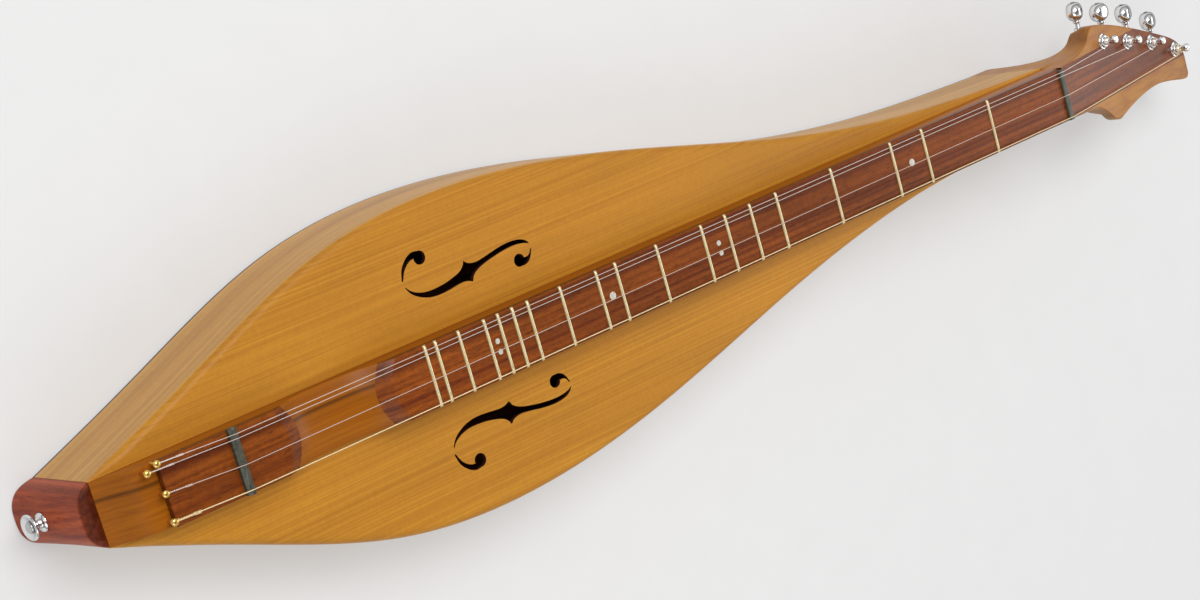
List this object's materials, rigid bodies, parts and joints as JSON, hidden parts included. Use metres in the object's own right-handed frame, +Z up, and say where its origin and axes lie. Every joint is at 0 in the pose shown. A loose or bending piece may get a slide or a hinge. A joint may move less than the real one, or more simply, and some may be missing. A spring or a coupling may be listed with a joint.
{
  "type": "mountain dulcimer",
  "caption": "Teardrop mountain dulcimer: hollow wooden body with curled sound holes, raised fretboard with a strum hollow, and a tilted peghead with geared tuners down one side.",
  "frame": {"origin": "middle of the whole instrument's length and width, on the plane of its back, on which it rests", "axes": "+X from the peghead to the tail, -Y the melody-string side with the tuner buttons, +Z up out of the soundboard"},
  "size_m": [1.0076, 0.1952, 0.0947],
  "materials": {
    "soundboard_cedar": "satin",
    "side_cherry": "gloss",
    "inner_spruce": "matte",
    "end_padauk": "gloss",
    "head_cherry": "satin",
    "board_cherry": "satin",
    "overlay_rosewood": "satin",
    "fret_nickel": "polished",
    "pearl": "gloss",
    "nut_ebony": "satin",
    "pin_brass": "polished",
    "string_steel": "polished",
    "string_bronze": "polished",
    "chrome": "polished",
    "screw_steel": "satin"
  },
  "bodies": {
    "knob_1": {"worm_shaft_1": "screw_steel", "tuner_button_1": "chrome", "button_screw_1": "screw_steel"},
    "post_1": {"tuner_post_1": "chrome", "worm_wheel_1": "pin_brass", "string_winding_1": "string_steel"},
    "knob_2": {"worm_shaft_2": "screw_steel", "tuner_button_2": "chrome", "button_screw_2": "screw_steel"},
    "post_2": {"tuner_post_2": "chrome", "worm_wheel_2": "pin_brass", "string_winding_2": "string_steel"},
    "knob_3": {"worm_shaft_3": "screw_steel", "tuner_button_3": "chrome", "button_screw_3": "screw_steel"},
    "post_3": {"tuner_post_3": "chrome", "worm_wheel_3": "pin_brass", "string_winding_3": "string_bronze"},
    "knob_4": {"worm_shaft_4": "screw_steel", "tuner_button_4": "chrome", "button_screw_4": "screw_steel"},
    "post_4": {"tuner_post_4": "chrome", "worm_wheel_4": "pin_brass", "string_winding_4": "string_bronze"},
    "instrument": {"soundboard": "soundboard_cedar", "back": "side_cherry", "bass_side": "side_cherry", "melody_side": "side_cherry", "soundboard_linings": "inner_spruce", "back_linings": "inner_spruce", "soundboard_braces": "inner_spruce", "back_braces": "inner_spruce", "tail_block": "inner_spruce", "tail_cap": "end_padauk", "strap_button": "chrome", "strap_button_screw": "screw_steel", "peghead": "head_cherry", "peghead_overlay": "overlay_rosewood", "fretboard_base": "board_cherry", "fingerboard": "overlay_rosewood", "bridge_island": "overlay_rosewood", "frets": "fret_nickel", "position_dots": "pearl", "nut": "nut_ebony", "bridge": "nut_ebony", "string_pins": "pin_brass", "melody_string_1": "string_steel", "melody_string_2": "string_steel", "middle_string": "string_bronze", "bass_string": "string_bronze", "tuner_bushings": "chrome", "tuner_screws": "screw_steel", "tuner_case_1": "chrome", "tuner_case_2": "chrome", "tuner_case_3": "chrome", "tuner_case_4": "chrome"}
  },
  "joints": [
    {"name": "knob_1_turn", "type": "hinge", "parent": "instrument", "child": "knob_1", "pos_m": [-0.37597, -0.0215, 0.06348], "axis": [0, -1, 0], "continuous": true},
    {"name": "post_1_turn", "type": "hinge", "parent": "instrument", "child": "post_1", "pos_m": [-0.38482, -0.0215, 0.0753], "axis": [-0.2079, 0, 0.9781], "continuous": true},
    {"name": "knob_2_turn", "type": "hinge", "parent": "instrument", "child": "knob_2", "pos_m": [-0.4106, -0.0124, 0.05612], "axis": [0, -1, 0], "continuous": true},
    {"name": "post_2_turn", "type": "hinge", "parent": "instrument", "child": "post_2", "pos_m": [-0.41945, -0.0124, 0.06793], "axis": [-0.2079, 0, 0.9781], "continuous": true},
    {"name": "knob_3_turn", "type": "hinge", "parent": "instrument", "child": "knob_3", "pos_m": [-0.44581, -0.0027, 0.04863], "axis": [0, -1, 0], "continuous": true},
    {"name": "post_3_turn", "type": "hinge", "parent": "instrument", "child": "post_3", "pos_m": [-0.45466, -0.0027, 0.06045], "axis": [-0.2079, 0, 0.9781], "continuous": true},
    {"name": "knob_4_turn", "type": "hinge", "parent": "instrument", "child": "knob_4", "pos_m": [-0.48005, 0.0116, 0.04136], "axis": [0, -1, 0], "continuous": true},
    {"name": "post_4_turn", "type": "hinge", "parent": "instrument", "child": "post_4", "pos_m": [-0.4889, 0.0116, 0.05317], "axis": [-0.2079, 0, 0.9781], "continuous": true}
  ],
  "couplings": [
    {"joint": "post_1_turn", "follows": "knob_1_turn", "ratio": 0.071429},
    {"joint": "post_2_turn", "follows": "knob_2_turn", "ratio": 0.071429},
    {"joint": "post_3_turn", "follows": "knob_3_turn", "ratio": 0.071429},
    {"joint": "post_4_turn", "follows": "knob_4_turn", "ratio": 0.071429}
  ]
}
